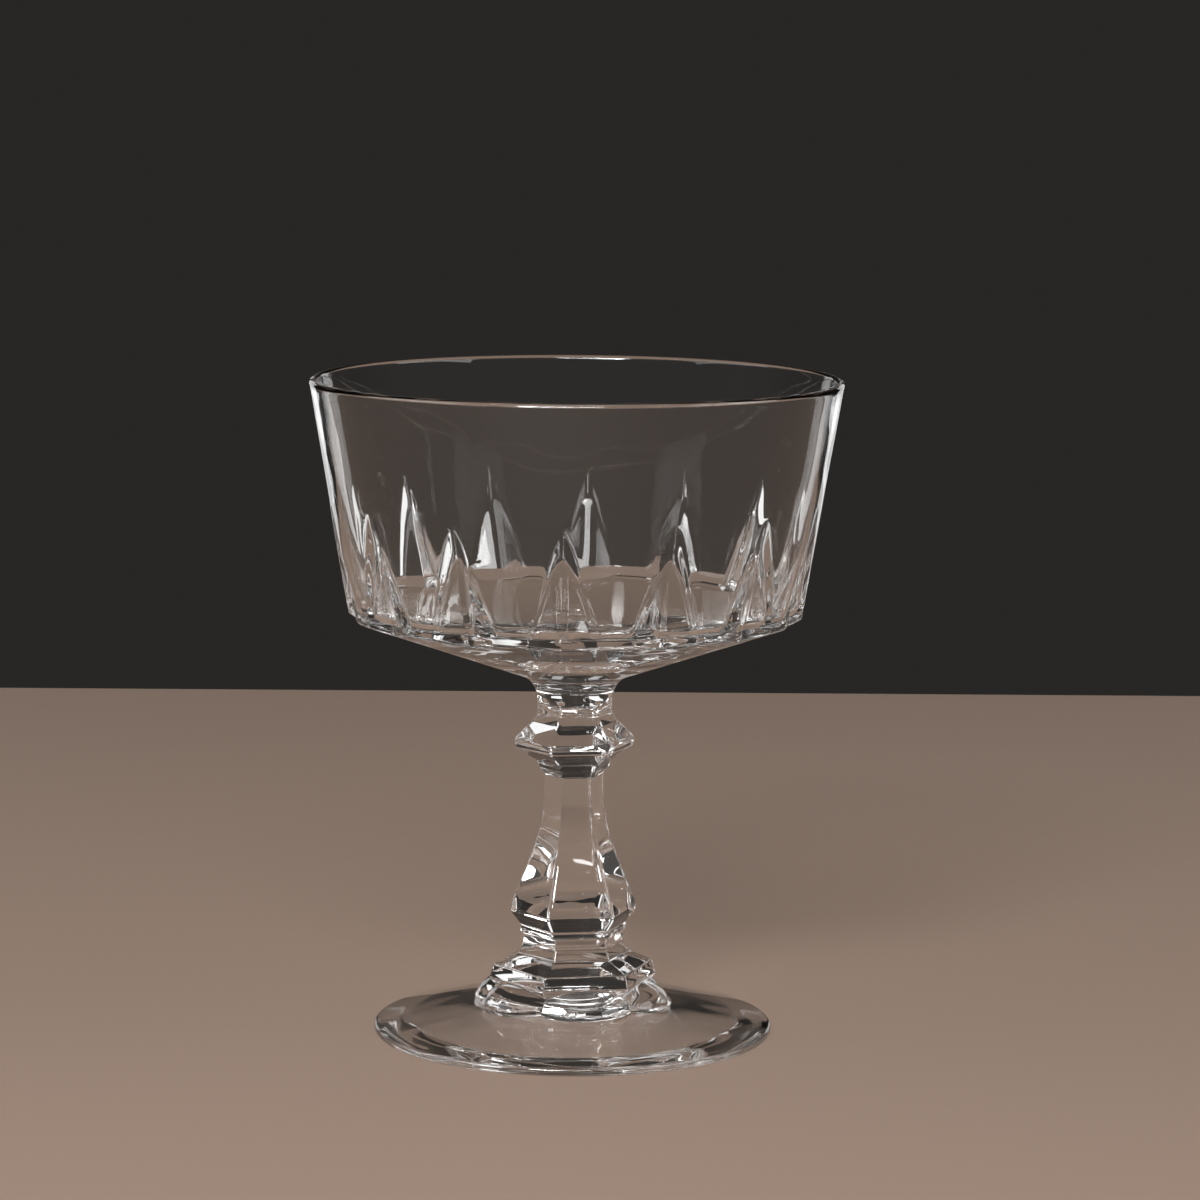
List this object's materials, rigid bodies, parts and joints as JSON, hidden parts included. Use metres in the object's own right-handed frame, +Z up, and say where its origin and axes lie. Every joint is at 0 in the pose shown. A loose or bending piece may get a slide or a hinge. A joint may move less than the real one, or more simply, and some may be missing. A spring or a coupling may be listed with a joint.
{
  "type": "sherbet glass",
  "caption": "Footed sherbet glass in clear cut crystal: a wide tapered bowl with mitre-cut spikes, a faceted baluster stem and a round foot with a petalled collar.",
  "frame": {"origin": "centre of the foot, on the plane that the foot rests on", "axes": "+Z up along the axis of the glass, -Y towards the viewer of the picture, +X to the viewer's right"},
  "size_m": [0.0902, 0.0902, 0.112],
  "materials": {
    "bowl_crystal": "clear crystal, fire-polished wall and lip, wheel-cut and polished spikes",
    "stem_crystal": "clear crystal, six polished flats with softened edges",
    "foot_crystal": "clear crystal, smooth pressed surface"
  },
  "bodies": {
    "root": {"bowl": "bowl_crystal", "stem": "stem_crystal", "foot": "foot_crystal"}
  },
  "joints": []
}
